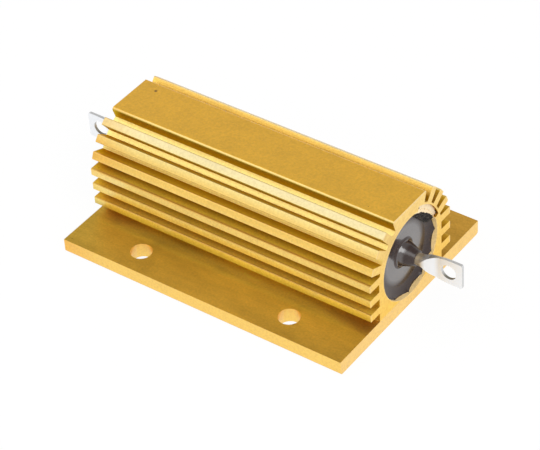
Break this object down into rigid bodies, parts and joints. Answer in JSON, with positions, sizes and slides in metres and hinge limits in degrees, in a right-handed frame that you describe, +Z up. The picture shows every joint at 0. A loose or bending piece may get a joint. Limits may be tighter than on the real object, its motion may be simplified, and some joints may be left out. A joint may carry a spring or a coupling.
{
  "type": "aluminium housed power resistor",
  "caption": "Wirewound power resistor moulded into a gold anodised, finned aluminium extrusion with a flat mounting base and a solder lug at each end.",
  "frame": {"origin": "centre of the mounting face, on the underside of the base", "axes": "+X along the resistor from lug to lug, +Z up from the mounting face, Y across the base"},
  "size_m": [0.088, 0.0474, 0.0236],
  "materials": {
    "anodised_aluminium": "gold anodised, satin extruded",
    "black_moulding": "moulded, glossy",
    "tinned_terminal": "bright tin plate",
    "ceramic": "fired, unglazed",
    "resistance_wire": "drawn wire turns",
    "cap_steel": "pressed, plated"
  },
  "bodies": {
    "root": {"housing": "anodised_aluminium", "moulded_insulation": "black_moulding", "terminal_left": "tinned_terminal", "terminal_right": "tinned_terminal", "ceramic_core": "ceramic", "resistance_winding": "resistance_wire", "end_cap_left": "cap_steel", "end_cap_right": "cap_steel"}
  },
  "joints": []
}
